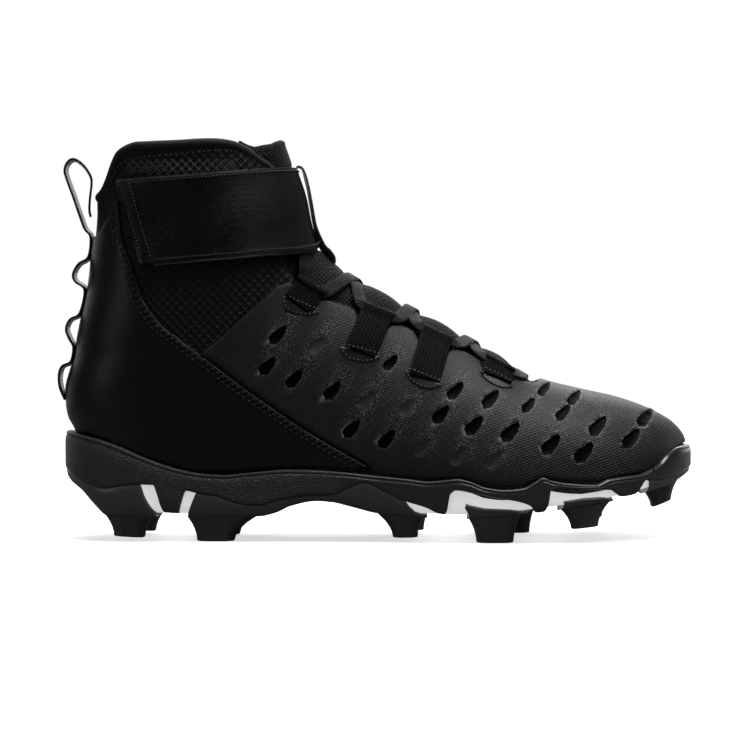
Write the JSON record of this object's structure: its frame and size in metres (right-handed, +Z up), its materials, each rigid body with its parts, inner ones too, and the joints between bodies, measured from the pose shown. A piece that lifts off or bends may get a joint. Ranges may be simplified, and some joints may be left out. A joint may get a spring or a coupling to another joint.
{
  "type": "american football cleat",
  "caption": "High-topped studded sports shoe for the right foot, hollow lasted upper with ankle strap, lacing and moulded studded sole.",
  "frame": {"origin": "middle of the shoe's bounding box on the floor, under the studs", "axes": "+X from heel to toe, +Y to the inner side of this right shoe, +Z up"},
  "size_m": [0.2932, 0.0976, 0.1826],
  "materials": {
    "black_mesh": "knitted mesh, matt",
    "black_synthetic": "smooth coated synthetic, satin",
    "black_knit": "open knit, matt",
    "black_webbing": "woven tape, satin",
    "black_rubber": "moulded, satin",
    "black_gloss": "moulded, glossy at the forefoot and grained at the heel",
    "white_plate": "moulded, semi-gloss",
    "grey_foam": "cloth-covered foam, matt"
  },
  "bodies": {
    "root": {"upper": "black_mesh", "quarter_outer": "black_synthetic", "quarter_inner": "black_synthetic", "vamp_skin": "black_synthetic", "tongue": "black_knit", "insole": "grey_foam", "ankle_strap": "black_webbing", "keeper_ribbon": "black_webbing", "heel_ribbon": "black_webbing", "loop_outer_1": "black_webbing", "loop_outer_2": "black_webbing", "loop_outer_3": "black_webbing", "loop_outer_4": "black_webbing", "loop_inner_1": "black_webbing", "loop_inner_2": "black_webbing", "loop_inner_3": "black_webbing", "loop_inner_4": "black_webbing", "lace_bar": "black_webbing", "lace_cross_1": "black_webbing", "lace_cross_2": "black_webbing", "lace_cross_3": "black_webbing", "midsole": "black_gloss", "toe_bumper": "black_gloss", "sole_plate": "white_plate", "tread_heel": "black_rubber", "tread_shank": "black_rubber", "tread_forefoot": "black_rubber", "tread_front": "black_rubber", "tread_toe": "black_rubber"}
  },
  "joints": []
}
